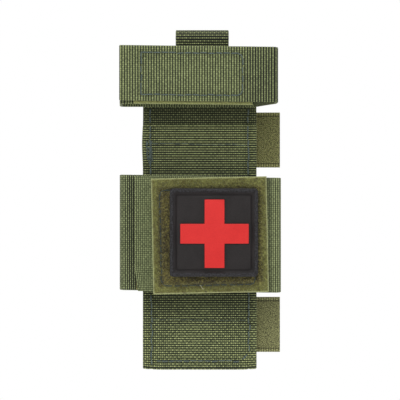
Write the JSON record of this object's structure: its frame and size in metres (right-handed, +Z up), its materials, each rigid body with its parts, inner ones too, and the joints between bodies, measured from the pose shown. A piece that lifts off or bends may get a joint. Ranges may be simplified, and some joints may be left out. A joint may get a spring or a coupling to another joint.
{
  "type": "tourniquet carrier",
  "caption": "Webbing carrier for a folded tourniquet, with an upper and a middle hook-and-loop band, a medical cross patch, a hanging loop and rear mounting straps.",
  "frame": {"origin": "rear face of the back panel, on its centre line, midway between the two rear straps", "axes": "+Z up along the panel, the front faces -Y, +X to the right seen from the front"},
  "size_m": [0.0724, 0.0372, 0.153],
  "materials": {
    "webbing": "ribbed nylon webbing, olive drab",
    "thread": "bonded nylon thread, dark slate green",
    "loop_pile": "brushed loop pile, olive brown",
    "hook_tape": "moulded nylon hooks on woven tape, olive",
    "patch_hook": "black nylon hook tape",
    "patch_black": "soft matt rubber, charcoal",
    "patch_red": "soft matt rubber, red"
  },
  "bodies": {
    "carrier": {"back_panel": "webbing", "top_loop": "webbing", "top_loop_stitching": "thread", "panel_stitching": "thread", "upper_cross_stitching": "thread", "lower_cross_stitching": "thread", "upper_band": "webbing", "upper_band_stitching": "thread", "upper_loop_tape": "loop_pile", "upper_loop_tape_stitching": "thread", "middle_band": "webbing", "middle_band_stitching": "thread", "middle_loop_tape": "loop_pile", "middle_loop_tape_stitching": "thread", "rear_upper_root": "hook_tape", "rear_lower_root": "hook_tape", "rear_upper_loop_tape": "loop_pile", "rear_lower_loop_tape": "loop_pile", "rear_root_stitching": "thread", "rear_loop_tape_stitching": "thread"},
    "upper_flap": {"upper_flap": "webbing", "upper_hook_tape": "hook_tape", "upper_flap_stitching": "thread"},
    "middle_flap": {"middle_flap": "webbing", "middle_hook_tape": "hook_tape", "loop_field": "loop_pile", "loop_field_stitching": "thread"},
    "patch": {"patch_hook_backing": "patch_hook", "patch_base": "patch_black", "patch_cross": "patch_red"},
    "rear_upper_strap": {"rear_upper_strap": "hook_tape"},
    "rear_lower_strap": {"rear_lower_strap": "hook_tape"}
  },
  "joints": [
    {"name": "upper_flap_hinge", "type": "hinge", "parent": "carrier", "child": "upper_flap", "pos_m": [0.03272, -0.0205, 0.0537], "axis": [0, 0, 1], "range_deg": [0, 120]},
    {"name": "middle_flap_hinge", "type": "hinge", "parent": "carrier", "child": "middle_flap", "pos_m": [0.03422, -0.0145, -0.0144], "axis": [0, 0, 1], "range_deg": [0, 120]},
    {"name": "patch_pull", "type": "slide", "parent": "middle_flap", "child": "patch", "axis": [0, -1, 0], "range_m": [0, 0.025]},
    {"name": "rear_upper_strap_hinge", "type": "hinge", "parent": "carrier", "child": "rear_upper_strap", "pos_m": [-0.0192, 0.0009, 0.02725], "axis": [0, 0, 1], "range_deg": [0, 120]},
    {"name": "rear_lower_strap_hinge", "type": "hinge", "parent": "carrier", "child": "rear_lower_strap", "pos_m": [-0.0192, 0.0009, -0.0565], "axis": [0, 0, 1], "range_deg": [0, 120]}
  ]
}
